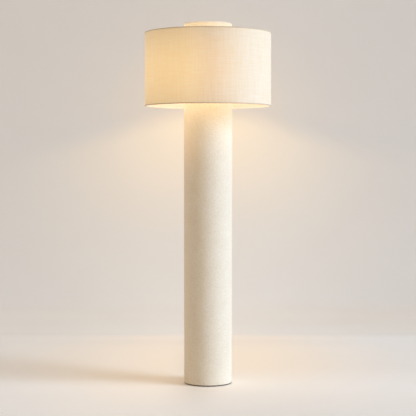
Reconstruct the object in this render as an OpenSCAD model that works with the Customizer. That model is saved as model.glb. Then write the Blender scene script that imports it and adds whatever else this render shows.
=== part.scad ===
// Floor lamp: a round column wrapped in felted textile stands on a weighted base and carries
// a linen drum shade. Inside the shade the opaque column ends, and a translucent diffuser of
// the same diameter stands on it round three bulbs. The shade hangs on a three-armed spider
// whose hub rests on the diffuser's top ring, and a shallow translucent cap stands on the hub.
// The shade lifts off upwards, the cap lifts off the hub, and the bulbs come out at the top.
// Millimetres; Z is up, the origin is on the floor at the middle of the base, the cord inlet
// is at the back (+Y).

/* [Overall] */
// Height of the lamp from the floor to the top of the cap
lamp_h = 1500; // [1400:10:1800]
// Outside diameter of the column over its textile, shared by the diffuser and the cap
column_d = 200; // [190:2:240]

/* [Feet] */
// Diameter of each rubber foot
foot_d = 24; // [16:1:28]
// Height of each foot, the shadow gap under the base plate
foot_h = 2; // [2:0.5:5]
// Number of feet
foot_count = 6; // [4:1:8]
// Gap between a foot's edge and the edge of the base plate
foot_inset = 9.5; // [8:0.5:22]

/* [Base] */
// How far the base plate and the head plate stay inside the column's outside
plate_inset = 0.5; // [0.5:0.5:2]
// Thickness of the black base plate
base_plate_t = 3; // [3:0.5:6]
// Thickness of the wooden disc in the column's foot
base_disc_t = 20; // [18:1:30]
// Gap between the two cast ballast discs and the tube round them
ballast_gap = 6; // [4:0.5:20]
// Thickness of each ballast disc
ballast_t = 18; // [16:1:30]
// Diameter of the recess under the base disc for the rod's end nut
recess_d = 32; // [30:1:40]
// Depth of that recess
recess_depth = 12; // [10:1:14]
// Number of base screws
base_screw_count = 4; // [3:1:6]
// Distance of the base screws from the middle
base_screw_r = 40; // [28:1:60]
// Shank diameter of the countersunk base screws
base_screw_d = 5; // [4:0.5:6]
// Length of the base screws
base_screw_len = 18; // [12:1:20]

/* [Column] */
// Thickness of the felted textile wrap
wrap_t = 1.8; // [1:0.1:2.5]
// Wall of the wound cardboard tube
tube_wall = 4; // [3:0.5:5]
// Height of the stiffening disc's underside above the floor
mid_disc_z = 620; // [300:10:900]
// Thickness of the stiffening disc
mid_disc_t = 12; // [9:1:25]
// Thickness of the wooden disc in the column's top
top_disc_t = 18; // [18:1:30]

/* [Tie rod] */
// Outside diameter of the hollow threaded rod
rod_d = 10; // [8:0.5:12]
// Bore of the rod, which the lead runs through
rod_bore_d = 7.5; // [5:0.5:7.5]
// Width across the flats of the rod nuts
nut_af = 15; // [15:0.5:19]
// Thickness of the rod nuts
nut_t = 5; // [4:0.5:6]
// Diameter of the rod washers
washer_d = 26; // [20:1:28]
// Thickness of the rod washers
washer_t = 1.5; // [1:0.5:2]
// Length of thread that shows past an end nut
rod_tail = 2; // [1:0.5:3]

/* [Cord inlet] */
// Bore of the rubber grommet, for a round cord of 7 mm
cord_bore_d = 7.2; // [6:0.1:8]
// Diameter of the grommet's neck in the column wall
grommet_neck_d = 12; // [11:0.5:14]
// Diameter of the grommet's outer flange
grommet_flange_d = 18; // [16:0.5:22]
// Thickness of the grommet's outer flange
grommet_flange_t = 2.5; // [1.5:0.5:4]
// Thickness of the grommet's inner flange
grommet_inner_t = 2; // [1:0.5:2]
// Width of the slot for the cord in the lower ballast disc
cord_slot_w = 12; // [10:1:20]

/* [Lamp head] */
// Thickness of the white head plate that closes the column
head_plate_t = 2; // [1.5:0.5:4]
// Outside diameter of the cluster body that carries the lampholders
cluster_d = 60; // [56:1:64]
// Height of the cluster body
cluster_h = 24; // [20:1:30]
// Wall of the cluster body
cluster_wall = 1.5; // [1:0.5:3]
// Height of the domed cover over the cluster body
cover_h = 5; // [4:0.5:7]
// Diameter of the cover's turned knob
knob_d = 8; // [6:0.5:12]
// Outside diameter of the bent arms
arm_d = 10; // [8:0.5:12]
// Wall of the bent arms
arm_wall = 1; // [0.5:0.25:1.5]
// Bend radius of the arms, measured at their middle line
arm_bend_r = 11; // [8:0.5:13]
// Straight length of an arm between its bend and its lampholder
arm_stub = 5; // [3:1:12]
// Distance of each bulb's axis from the column's axis
bulb_circle_r = 48; // [47:1:50]

/* [Lampholders] */
// Outside diameter of a lampholder's barrel
holder_d = 38; // [36:1:42]
// Diameter of the flange at a lampholder's mouth
holder_rim_d = 42; // [42:1:46]
// Diameter of a lampholder's foot
holder_foot_d = 24; // [20:1:28]
// How much of a bulb's screw cap shows above its lampholder's mouth
cap_show = 1.2; // [1:0.2:5]
// Thickness of a lampholder's floor
holder_floor_t = 10; // [10:1:12]
// Depth that an arm goes into a lampholder's floor
arm_plug = 7; // [4:1:8]
// Wall of the threaded brass insert
insert_wall = 0.6; // [0.4:0.1:0.8]
// Diameter of the centre contact's base
contact_d = 10; // [7:0.5:12]
// Diameter of the two holes for the leads in a lampholder's floor
lead_hole_d = 2; // [1.5:0.5:3]

/* [Bulbs] */
// Diameter of a bulb's globe
globe_d = 60; // [50:1:62]
// Length of a bulb from its foot contact to its top
bulb_len = 105; // [95:1:115]
// Diameter of a bulb's screw cap
screw_cap_d = 26.5; // [26:0.1:27]
// Height of a bulb's screw cap
screw_cap_h = 27; // [25:0.5:28]
// Wall of the opal glass
glass_wall = 0.8; // [0.6:0.1:1.5]

/* [Diffuser] */
// Thickness of the translucent sheet in the diffuser and the cap
sheet_t = 1; // [0.8:0.1:1.6]
// Thickness of the textile skin on the diffuser and the cap
skin_t = 1; // [0.6:0.1:1.5]
// Radial width of the diffuser's flat rings
ring_w = 11; // [9:0.5:12]
// Thickness of the diffuser's flat rings
ring_t = 3; // [2:0.5:4]
// Diameter of the uprights between the rings
upright_d = 5; // [4:0.5:6]
// Number of uprights, and of the screws that stand between them
upright_count = 4; // [3:1:6]
// Shank diameter of the head screws
head_screw_d = 4; // [3:0.5:5]
// Length of the head screws under their heads
head_screw_len = 18; // [14:1:20]

/* [Shade] */
// Outside diameter of the drum shade over its linen
shade_d = 524; // [420:2:620]
// Height of the drum shade
shade_h = 304; // [260:2:420]
// How far the column goes up inside the shade
column_rise = 39; // [30:1:60]
// Depth of the spider's hub under the shade's top rim
hub_drop = 22; // [20:1:40]
// Thickness of the linen
linen_t = 1; // [0.6:0.1:1.5]
// Thickness of the stiff translucent liner behind the linen
liner_t = 1; // [0.8:0.1:1.6]
// Diameter of the shade's rim wires
wire_d = 4; // [3:0.5:5]
// Thickness of the rolled edge binding
hem_t = 0.8; // [0.5:0.1:1.2]
// Width of binding that shows on the outside
hem_show = 4; // [3:0.5:10]
// Width of binding that is tucked behind the rim wire
hem_tuck = 8; // [6:0.5:14]

/* [Spider] */
// Thickness of the hub's flange
hub_t = 3; // [3:0.5:5]
// How far the hub's flange stands out past the cap
hub_lip = 4; // [3:0.5:8]
// Wall of the hub's spigot inside the diffuser's top ring
spigot_wall = 2; // [1.5:0.5:3]
// Height of the spigot under the flange
spigot_h = 8; // [5:1:12]
// Diameter of the spokes
spoke_d = 4; // [3:0.5:4]
// Bend radius of the spokes' turned-up ends
spoke_bend_r = 10; // [6:0.5:10]
// Number of spokes
spoke_count = 3; // [3:1:6]
// Diameter of the pins that keep the hub from turning
pin_d = 4; // [3:0.5:5]
// Number of pins
pin_count = 3; // [3:1:6]

/* [Cap] */
// How far the cap stands out above the shade's top rim
cap_proud = 38; // [15:1:80]
// Round-over of the cap's top edge
cap_edge_r = 5; // [3:0.5:10]
// Thickness of the cap's locating ring
cap_ring_t = 2; // [1.5:0.5:4]
// Depth of the locating lip inside the hub
cap_lip_h = 2.5; // [1.5:0.5:2.5]
// Wall of the locating lip
cap_lip_wall = 1.5; // [1:0.5:3]

/* [Fits] */
// Glue line between a skin and what it is laminated on
glue_gap = 0.2; // [0.1:0.05:0.3]
// Gap round a piece that slips into a tube
slip_gap = 0.3; // [0.2:0.05:0.5]
// Gap under a piece that is lifted off by hand
seat_gap = 0.2; // [0.1:0.05:0.3]
// Gap round a spigot, lip or pin that locates a loose piece
locate_gap = 0.5; // [0.3:0.1:1]
// Gap between a thread and what it goes through
thread_gap = 0.1; // [0.05:0.05:0.2]

/* [Hidden] */
$fn = 96;

// Direction of the back, where the inlet, the first bulb and the first spoke are
back = 90;
// Bulbs, their arms and their lampholders
bulb_count = 3;
// Directions of the first foot and the first base screw
foot_start = 30;
base_screw_start = 45;
// How far a cutting shape runs past the face that it cuts
over = 1;
// Height of the small flat at a globe's crown, where the glass was sealed
crown_flat = 0.05;
// Where a globe's neck line ends inside the sphere, out and down, in sphere radii
neck_end = [0.86, 0.35];
// Edge break of turned pieces, and of the castings
edge_break = 0.5;
cast_break = 2;

// Heights, from the floor up
base_top = foot_h + base_plate_t;
base_disc_top = base_top + base_disc_t;
ballast_top = base_disc_top + 2 * ballast_t;
inlet_z = base_disc_top + ballast_t / 2;
shade_top = lamp_h - cap_proud;
shade_bottom = shade_top - shade_h;
hub_z = shade_top - hub_drop;
column_top = shade_bottom + column_rise;
head_top = column_top + head_plate_t;
cluster_z = head_top + washer_t + nut_t;
arm_z = cluster_z + cluster_h / 2;
holder_z = arm_z + arm_bend_r + arm_stub;
contact_z = holder_z + holder_floor_t;
contact_t = 1;
bulb_z = contact_z + 2 * contact_t + seat_gap;
holder_h = bulb_z + screw_cap_h - cap_show - holder_z;
cap_z = hub_z + hub_t + seat_gap;

// Radii, from the outside in
column_r = column_d / 2;
tube_r = column_r - wrap_t - glue_gap;
tube_bore_r = tube_r - tube_wall;
disc_r = tube_bore_r - slip_gap;
ballast_r = tube_bore_r - ballast_gap;
plate_r = column_r - plate_inset;
foot_circle_r = plate_r - foot_inset - foot_d / 2;
sheet_r = column_r - skin_t - glue_gap;
frame_r = sheet_r - sheet_t - slip_gap;
ring_bore_r = frame_r - ring_w;
ring_mid_r = frame_r - ring_w / 2;
spigot_r = ring_bore_r - locate_gap;
hub_bore_r = spigot_r - spigot_wall;
hub_r = column_r + hub_lip;
rod_hole_d = rod_d + 2 * thread_gap;
shade_r = shade_d / 2;
liner_r = shade_r - linen_t - glue_gap;
wire_r = liner_r - liner_t - slip_gap - wire_d / 2;
hem_out_r = shade_r + glue_gap + hem_t;
hem_in_r = wire_r - wire_d / 2 - glue_gap - hem_t;
hem_room = hem_t + glue_gap;
// A bulb's cap is bare metal up to its flare, which starts this far under its top
flare_h = 3;
flare_r = screw_cap_d / 2 + 0.4;
insert_r = screw_cap_d / 2 + 2 * thread_gap + insert_wall;
socket_r = insert_r + glue_gap;

// Heights at which the rod is clamped by a washer and a nut, and where its lock nut is
recess_top = base_top + recess_depth;
rod_bottom = recess_top - washer_t - nut_t - rod_tail;
lock_nut_z = cluster_z + cluster_wall;
rod_top = lock_nut_z + nut_t + rod_tail;

// Textile and metal colours
ivory = [0.93, 0.89, 0.81];
warm_white = [0.97, 0.93, 0.84];
white_paint = [0.95, 0.95, 0.93];
black_paint = [0.06, 0.06, 0.06];
zinc = [0.72, 0.73, 0.74];
brass = [0.80, 0.64, 0.34];
fibreboard = [0.72, 0.60, 0.43];
wound_board = [0.70, 0.58, 0.42];
cast_iron = [0.25, 0.25, 0.26];
opal = [1, 0.97, 0.88];

module disc(r, z, t) {
    translate([0, 0, z])
        cylinder(r = r, h = t);
}

module ring(r_out, r_in, z, t) {
    translate([0, 0, z])
        rotate_extrude()
            translate([r_in, 0])
                square([r_out - r_in, t]);
}

module around(count, start = 0) {
    for (i = [0:count - 1])
        rotate([0, 0, start + i * 360 / count])
            children();
}

// A hole along Z at the distance x from the axis, through a plate from z to z + t
module hole(x, z, t, d) {
    translate([x, 0, z - over])
        cylinder(d = d, h = t + 2 * over);
}

// A lid's outline: straight side, round-over of radius edge, flat top
module lid_outline(r, h, edge) {
    square([r, h - edge]);
    square([r - edge, h]);
    intersection() {
        translate([r - edge, h - edge])
            circle(r = edge);
        translate([0, h - edge])
            square([r, edge]);
    }
}

// Six small rubber feet under the base plate, each with a softened rim at the floor
module foot_outline() {
    square([foot_d / 2 - edge_break, foot_h]);
    translate([0, edge_break])
        square([foot_d / 2, foot_h - edge_break]);
}

module floor_feet() {
    color(black_paint)
        around(foot_count, foot_start)
            translate([foot_circle_r, 0, 0])
                rotate_extrude()
                    foot_outline();
}

// Countersunk screw: a cone as deep as the head, a shank above it
module base_screw(grow) {
    head_r = base_screw_d + grow;
    shank_r = base_screw_d / 2 + grow;
    head_h = base_screw_d / 2;
    translate([base_screw_r, 0, foot_h])
        rotate_extrude()
            polygon([[0, 0], [head_r, 0], [shank_r, head_h],
                [shank_r, base_screw_len + grow], [0, base_screw_len + grow]]);
}

module base_plate() {
    color(black_paint)
        difference() {
            translate([0, 0, foot_h])
                rotate_extrude()
                    polygon([[0, 0], [plate_r - edge_break, 0], [plate_r, edge_break],
                        [plate_r, base_plate_t], [0, base_plate_t]]);
            base_screws_at(thread_gap);
        }
}

module base_screws_at(grow) {
    around(base_screw_count, base_screw_start)
        base_screw(grow);
}

module base_screws() {
    color(zinc)
        base_screws_at(0);
}

module base_disc() {
    color(fibreboard)
        difference() {
            disc(disc_r, base_top, base_disc_t);
            disc(recess_d / 2, base_top - over, recess_depth + over);
            hole(0, base_top, base_disc_t, rod_hole_d);
            base_screws_at(thread_gap);
        }
}

// A cast disc with broken edges
module ballast_disc(z) {
    flat_r = ballast_r - cast_break;
    difference() {
        translate([0, 0, z])
            rotate_extrude()
                polygon([[0, 0], [flat_r, 0], [ballast_r, cast_break],
                    [ballast_r, ballast_t - cast_break], [flat_r, ballast_t], [0, ballast_t]]);
        hole(0, z, ballast_t, rod_hole_d);
    }
}

// The lower disc is cast with a slot from its edge to the rod, which the lead lies in
module ballast_lower() {
    color(cast_iron)
        difference() {
            ballast_disc(base_disc_top);
            translate([-cord_slot_w / 2, 0, base_disc_top - over])
                cube([cord_slot_w, ballast_r + over, ballast_t + 2 * over]);
        }
}

module ballast_upper() {
    color(cast_iron)
        ballast_disc(base_disc_top + ballast_t);
}

// A round cutter along +Y through the back of the column at the inlet
module inlet_cutter(d) {
    translate([0, column_r / 2, inlet_z])
        rotate([-90, 0, 0])
            cylinder(d = d, h = column_r);
}

// Rubber grommet: a flange on each side of the column wall, a neck through it
module cord_grommet() {
    taper = 1;
    neck_r = grommet_neck_d / 2;
    out_r = grommet_flange_d / 2;
    face_r = out_r - taper;
    bore_r = cord_bore_d / 2;
    wall_in = sqrt(tube_bore_r * tube_bore_r - face_r * face_r) - glue_gap;
    wall_out = column_r + glue_gap;
    inner_end = wall_in - grommet_inner_t;
    outer_end = wall_out + grommet_flange_t;
    color(black_paint)
        translate([0, 0, inlet_z])
            rotate([-90, 0, 0])
                rotate_extrude()
                    polygon([[bore_r, inner_end], [face_r, inner_end], [face_r, wall_in],
                        [neck_r, wall_in], [neck_r, wall_out], [out_r, wall_out],
                        [face_r, outer_end], [bore_r, outer_end]]);
}

module column_tube() {
    color(wound_board)
        difference() {
            ring(tube_r, tube_bore_r, base_top, column_top - base_top);
            inlet_cutter(grommet_neck_d + 2 * slip_gap);
        }
}

module column_wrap() {
    color(ivory)
        difference() {
            ring(column_r, column_r - wrap_t, base_top, column_top - base_top);
            inlet_cutter(grommet_neck_d + 2 * slip_gap);
        }
}

module middle_disc() {
    color(fibreboard)
        ring(disc_r, rod_hole_d / 2, mid_disc_z, mid_disc_t);
}

module top_disc() {
    z = column_top - top_disc_t;
    color(fibreboard)
        difference() {
            ring(disc_r, rod_hole_d / 2, z, top_disc_t);
            head_screws_at()
                hole(0, z, top_disc_t, head_screw_d + 2 * thread_gap);
        }
}

// Hollow rod that ties base and head together; a side hole lets the lead in at the inlet
module lamp_rod() {
    side_hole_d = 0.8 * rod_bore_d;
    color(zinc)
        difference() {
            ring(rod_d / 2, rod_bore_d / 2, rod_bottom, rod_top - rod_bottom);
            translate([0, 0, inlet_z])
                rotate([-90, 0, 0])
                    cylinder(d = side_hole_d, h = rod_d);
        }
}

// Hex nut on the rod
module rod_nut(z) {
    translate([0, 0, z])
        difference() {
            cylinder(d = nut_af / cos(30), h = nut_t, $fn = 6);
            translate([0, 0, -over])
                cylinder(d = rod_hole_d, h = nut_t + 2 * over);
        }
}

module rod_nuts() {
    color(brass) {
        rod_nut(recess_top - washer_t - nut_t);
        rod_nut(ballast_top + washer_t);
        rod_nut(head_top + washer_t);
        rod_nut(lock_nut_z);
    }
}

module rod_washers() {
    color(zinc) {
        ring(washer_d / 2, rod_hole_d / 2, recess_top - washer_t, washer_t);
        ring(washer_d / 2, rod_hole_d / 2, ballast_top, washer_t);
        ring(washer_d / 2, rod_hole_d / 2, head_top, washer_t);
    }
}

module head_plate() {
    color(white_paint)
        difference() {
            ring(plate_r, rod_hole_d / 2, column_top, head_plate_t);
            head_screws_at()
                hole(0, column_top, head_plate_t, head_screw_d + 2 * thread_gap);
        }
}

// Spun cup that the three arms leave from
module cluster_body() {
    r = cluster_d / 2;
    color(white_paint)
        difference() {
            translate([0, 0, cluster_z])
                rotate_extrude()
                    difference() {
                        square([r, cluster_h]);
                        translate([0, cluster_wall])
                            square([r - cluster_wall, cluster_h]);
                        square([rod_hole_d / 2, cluster_wall]);
                    }
            around(bulb_count, back)
                translate([cluster_d / 4, 0, arm_z])
                    rotate([0, 90, 0])
                        cylinder(d = arm_d + 2 * thread_gap, h = cluster_d / 2);
        }
}

// Domed lid with a rim that goes into the cup and a small turned knob
module cluster_cover() {
    r = cluster_d / 2;
    edge_h = 1.5;
    crown_r = 0.6 * r;
    shoulder_r = r - 4;
    rim_r = r - cluster_wall - slip_gap;
    rim_wall = 1.2;
    rim_h = 4;
    neck_r = 0.3 * knob_d;
    neck_h = 3;
    knob_h = knob_d / 2;
    color(white_paint)
        translate([0, 0, cluster_z + cluster_h])
            rotate_extrude() {
                polygon([[0, 0], [r, 0], [r, edge_h], [shoulder_r, cover_h - edge_h],
                    [crown_r, cover_h], [0, cover_h]]);
                translate([rim_r - rim_wall, -rim_h])
                    square([rim_wall, rim_h]);
                translate([0, cover_h])
                    square([neck_r, neck_h]);
                translate([0, cover_h + neck_h])
                    square([knob_d / 2, knob_h]);
            }
}

// Middle line of an arm: out of the cup, a quarter bend, up into the lampholder
module arm_run(r, extra) {
    arm_in = 3;
    start_x = cluster_d / 2 - cluster_wall - arm_in;
    bend_x = bulb_circle_r - arm_bend_r;
    bend_top = arm_z + arm_bend_r;
    translate([start_x - extra, 0, arm_z])
        rotate([0, 90, 0])
            cylinder(r = r, h = bend_x - start_x + extra);
    translate([bend_x, 0, bend_top])
        rotate([-90, 0, 0])
            rotate_extrude(angle = 90)
                translate([arm_bend_r, 0])
                    circle(r = r);
    translate([bulb_circle_r, 0, bend_top])
        cylinder(r = r, h = arm_stub + arm_plug + extra);
}

module cluster_arms() {
    color(white_paint)
        around(bulb_count, back)
            difference() {
                arm_run(arm_d / 2, 0);
                arm_run(arm_d / 2 - arm_wall, over);
            }
}

// Porcelain lampholder: foot, cone, barrel and mouth flange round one straight socket
module holder_outline() {
    foot_r = holder_foot_d / 2;
    barrel_r = holder_d / 2;
    rim_r = holder_rim_d / 2;
    lip = 2 * edge_break;
    step_h = 3;
    rim_h = 5;
    polygon([[0, 0], [foot_r, 0], [foot_r, step_h], [barrel_r, holder_floor_t + step_h],
        [barrel_r, holder_h - rim_h - rim_r + barrel_r], [rim_r, holder_h - rim_h],
        [rim_r, holder_h - lip], [rim_r - lip, holder_h], [0, holder_h]]);
}

module lamp_holders() {
    color(warm_white)
        around(bulb_count, back)
            translate([bulb_circle_r, 0, holder_z])
                difference() {
                    rotate_extrude()
                        holder_outline();
                    disc(socket_r, holder_floor_t, holder_h);
                    disc(arm_d / 2 + thread_gap, -over, arm_plug + over);
                    around(2)
                        translate([0.3 * arm_d, 0, 0])
                            cylinder(d = lead_hole_d, h = holder_floor_t + over);
                }
}

// Threaded brass insert that a bulb's cap screws into, shown at the thread's crests
module holder_inserts() {
    end_gap = 2;
    z = contact_z + 2 * end_gap;
    top_z = bulb_z + screw_cap_h - flare_h - end_gap;
    color(brass)
        around(bulb_count, back)
            translate([bulb_circle_r, 0, 0])
                ring(insert_r, insert_r - insert_wall, z, top_z - z);
}

// Centre contact: a round base with a raised button under the bulb's foot
module holder_contacts() {
    color(brass)
        around(bulb_count, back)
            translate([bulb_circle_r, 0, contact_z])
                rotate_extrude() {
                    square([contact_d / 2, contact_t]);
                    square([contact_d / 4, 2 * contact_t]);
                }
}

// Screws between the uprights, and the uprights, on the rings' middle circle
module head_screws_at() {
    around(upright_count, back)
        translate([ring_mid_r, 0, 0])
            children();
}

module uprights_at() {
    around(upright_count, back + 180 / upright_count)
        translate([ring_mid_r, 0, 0])
            children();
}

module pins_at() {
    around(pin_count, back + 90 / pin_count)
        translate([ring_mid_r, 0, 0])
            children();
}

module diffuser_bottom_ring() {
    color(white_paint)
        difference() {
            ring(frame_r, ring_bore_r, head_top, ring_t);
            head_screws_at()
                hole(0, head_top, ring_t, head_screw_d + 2 * thread_gap);
        }
}

module diffuser_uprights() {
    z = head_top + ring_t;
    color(white_paint)
        uprights_at()
            disc(upright_d / 2, z, hub_z - seat_gap - ring_t - z);
}

module diffuser_top_ring() {
    color(white_paint)
        ring(frame_r, ring_bore_r, hub_z - seat_gap - ring_t, ring_t);
}

// Pins that stand on the top ring and go up into the hub's holes
module locating_pins() {
    color(zinc)
        pins_at()
            disc(pin_d / 2, hub_z - seat_gap, hub_t);
}

// Pan-head screws down through the bottom ring and the head plate into the top disc
module head_screws() {
    seat = head_top + ring_t;
    shank_r = head_screw_d / 2;
    head_r = head_screw_d;
    head_h = 0.6 * head_screw_d;
    color(zinc)
        head_screws_at()
            translate([0, 0, seat])
                rotate_extrude()
                    polygon([[0, -head_screw_len], [shank_r, -head_screw_len], [shank_r, 0],
                        [head_r, 0], [head_r, head_h / 2], [shank_r, head_h], [0, head_h]]);
}

module diffuser_sheet() {
    z = head_top + slip_gap;
    color(warm_white, 0.8)
        ring(sheet_r, sheet_r - sheet_t, z, hub_z - seat_gap - z);
}

module diffuser_fabric() {
    z = head_top + slip_gap;
    color(warm_white)
        ring(column_r, column_r - skin_t, z, hub_z - seat_gap - z);
}

// The place of bulb n, from 1, on the bulbs' circle
module bulb_at(n) {
    rotate([0, 0, back + (n - 1) * 360 / bulb_count])
        translate([bulb_circle_r, 0, bulb_z])
            children();
}

// Screw cap: foot contact, insulator cone, thread barrel and flare under the glass
module bulb_cap(n) {
    r = screw_cap_d / 2;
    foot_r = 4.5;
    foot_top = 1.5;
    cone_r = 6;
    cone_top = 5;
    bead = 0.8;
    flare_z = screw_cap_h - flare_h;
    color(zinc)
        bulb_at(n)
            rotate_extrude()
                polygon([[0, 0], [foot_r, 0], [foot_r, foot_top], [cone_r, foot_top],
                    [r - bead, cone_top], [r, cone_top + bead], [r, flare_z - bead],
                    [flare_r, flare_z], [flare_r, screw_cap_h], [0, screw_cap_h]]);
}

// Half outline of a globe: a conical neck that runs into a sphere, shrunk for the inside
module globe_outline(shrink) {
    sphere_r = globe_d / 2;
    neck_r = flare_r;
    mid = bulb_len - sphere_r;
    top_r = sphere_r - shrink;
    foot_z = screw_cap_h + shrink;
    polygon([[0, foot_z], [neck_r - shrink, foot_z],
        [neck_end[0] * top_r, mid - neck_end[1] * top_r], [0, mid]]);
    intersection() {
        translate([0, mid])
            circle(r = top_r);
        translate([0, foot_z])
            square([sphere_r, mid + top_r - crown_flat - foot_z]);
    }
}

module bulb_globe(n) {
    color(opal)
        bulb_at(n)
            rotate_extrude()
                difference() {
                    globe_outline(0);
                    globe_outline(glass_wall);
                }
}

// Hub: a flange under the cap and a spigot that drops into the diffuser's top ring
module shade_hub() {
    color(white_paint)
        difference() {
            translate([0, 0, hub_z])
                rotate_extrude() {
                    translate([hub_bore_r, 0])
                        square([hub_r - hub_bore_r, hub_t]);
                    translate([hub_bore_r, -spigot_h])
                        square([spigot_wall, spigot_h]);
                }
            pins_at()
                hole(0, hub_z, hub_t, pin_d + 2 * locate_gap);
        }
}

// Spokes run out from the hub's edge and turn up under the top wire, one at the back
module shade_spokes() {
    r = spoke_d / 2;
    run_z = hub_z + hub_t / 2;
    start_x = hub_r + glue_gap;
    bend_x = wire_r - spoke_bend_r;
    bend_top = run_z + spoke_bend_r;
    end_z = shade_top - hem_room - wire_d - glue_gap;
    color(white_paint)
        around(spoke_count, back) {
            translate([start_x, 0, run_z])
                rotate([0, 90, 0])
                    cylinder(r = r, h = bend_x - start_x);
            translate([bend_x, 0, bend_top])
                rotate([-90, 0, 0])
                    rotate_extrude(angle = 90)
                        translate([spoke_bend_r, 0])
                            circle(r = r);
            translate([wire_r, 0, bend_top])
                cylinder(r = r, h = end_z - bend_top);
        }
}

module rim_wire(z) {
    color(white_paint)
        translate([0, 0, z])
            rotate_extrude()
                translate([wire_r, 0])
                    circle(d = wire_d);
}

module shade_top_wire() {
    rim_wire(shade_top - hem_room - wire_d / 2);
}

module shade_bottom_wire() {
    rim_wire(shade_bottom + hem_room + wire_d / 2);
}

module shade_liner() {
    color(warm_white, 0.8)
        ring(liner_r, liner_r - liner_t, shade_bottom + hem_room, shade_h - 2 * hem_room);
}

module shade_linen() {
    color(ivory)
        ring(shade_r, shade_r - linen_t, shade_bottom + hem_room, shade_h - 2 * hem_room);
}

// Binding rolled round linen, liner and wire: short leg outside, long leg tucked inside
module binding_outline() {
    translate([hem_in_r, hem_t])
        square([hem_t, hem_tuck - hem_t]);
    translate([hem_out_r - hem_t, hem_t])
        square([hem_t, hem_show - hem_t]);
    translate([hem_in_r + hem_t, 0])
        square([hem_out_r - hem_in_r - 2 * hem_t, hem_t]);
    for (x = [hem_in_r + hem_t, hem_out_r - hem_t])
        intersection() {
            translate([x, hem_t])
                circle(r = hem_t);
            translate([hem_in_r, 0])
                square([hem_out_r - hem_in_r, hem_t]);
        }
}

module shade_bottom_binding() {
    color(ivory)
        translate([0, 0, shade_bottom])
            rotate_extrude()
                binding_outline();
}

module shade_top_binding() {
    color(ivory)
        translate([0, 0, shade_top])
            mirror([0, 0, 1])
                rotate_extrude()
                    binding_outline();
}

// Ring glued into the cap's foot, with a lip that drops inside the hub
module cap_ring() {
    bore_r = hub_bore_r - locate_gap - cap_lip_wall;
    ring_out = sheet_r - sheet_t - glue_gap;
    color(white_paint)
        translate([0, 0, cap_z])
            rotate_extrude() {
                translate([bore_r, 0])
                    square([ring_out - bore_r, cap_ring_t]);
                translate([bore_r, -cap_lip_h])
                    square([cap_lip_wall, cap_lip_h]);
            }
}

module cap_shell() {
    h = lamp_h - cap_z - skin_t - glue_gap;
    edge = cap_edge_r - skin_t - glue_gap;
    color(warm_white, 0.8)
        translate([0, 0, cap_z])
            rotate_extrude()
                difference() {
                    lid_outline(sheet_r, h, edge);
                    lid_outline(sheet_r - sheet_t, h - sheet_t, edge - sheet_t);
                }
}

module cap_fabric() {
    h = lamp_h - cap_z;
    color(ivory)
        translate([0, 0, cap_z])
            rotate_extrude()
                difference() {
                    lid_outline(column_r, h, cap_edge_r);
                    lid_outline(column_r - skin_t, h - skin_t, cap_edge_r - skin_t);
                }
}

floor_feet();
base_plate();
base_screws();
base_disc();
ballast_lower();
ballast_upper();
cord_grommet();
column_tube();
column_wrap();
middle_disc();
top_disc();
lamp_rod();
rod_nuts();
rod_washers();
head_plate();
cluster_body();
cluster_cover();
cluster_arms();
lamp_holders();
holder_inserts();
holder_contacts();
diffuser_bottom_ring();
diffuser_uprights();
diffuser_top_ring();
locating_pins();
head_screws();
diffuser_sheet();
diffuser_fabric();
bulb_cap(1);  // bulb_1_screw_cap
bulb_globe(1);  // bulb_1_globe
bulb_cap(2);  // bulb_2_screw_cap
bulb_globe(2);  // bulb_2_globe
bulb_cap(3);  // bulb_3_screw_cap
bulb_globe(3);  // bulb_3_globe
shade_hub();
shade_spokes();
shade_top_wire();
shade_bottom_wire();
shade_liner();
shade_linen();
shade_top_binding();
shade_bottom_binding();
cap_ring();
cap_shell();
cap_fabric();
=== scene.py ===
import math

import bpy
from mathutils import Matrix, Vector, noise


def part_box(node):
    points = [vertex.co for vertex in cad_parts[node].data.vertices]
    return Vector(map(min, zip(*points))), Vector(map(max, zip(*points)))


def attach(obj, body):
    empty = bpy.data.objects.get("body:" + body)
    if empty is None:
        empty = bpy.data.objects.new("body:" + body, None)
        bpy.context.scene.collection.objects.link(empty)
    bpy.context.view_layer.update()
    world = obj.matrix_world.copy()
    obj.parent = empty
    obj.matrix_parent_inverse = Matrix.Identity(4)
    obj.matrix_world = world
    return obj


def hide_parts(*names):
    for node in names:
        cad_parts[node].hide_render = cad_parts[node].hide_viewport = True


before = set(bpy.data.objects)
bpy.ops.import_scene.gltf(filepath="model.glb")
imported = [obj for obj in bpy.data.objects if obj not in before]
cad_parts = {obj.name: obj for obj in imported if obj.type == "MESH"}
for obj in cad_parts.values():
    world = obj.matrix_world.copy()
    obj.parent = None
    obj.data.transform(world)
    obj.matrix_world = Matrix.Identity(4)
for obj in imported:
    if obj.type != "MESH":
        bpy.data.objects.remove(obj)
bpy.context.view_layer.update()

# ---- The view, in metres and degrees ----

CAMERA_PLACE = (0, -5.09, 0.9184)
CAMERA_DIP = 2.075
LENS_MM = 105.46
SENSOR_MM = 36


def put_in_scene(name, data):
    """A new object of the scene, made of a mesh, a light or a camera."""
    made = bpy.data.objects.new(name, data)
    bpy.context.scene.collection.objects.link(made)
    return made


def set_up_camera():
    data = bpy.data.cameras.new("lamp_view")
    data.lens = LENS_MM
    data.sensor_width = SENSOR_MM
    camera = put_in_scene("lamp_view", data)
    camera.location = CAMERA_PLACE
    camera.rotation_euler = (math.radians(90 - CAMERA_DIP), 0, 0)
    bpy.context.scene.camera = camera


set_up_camera()

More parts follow.
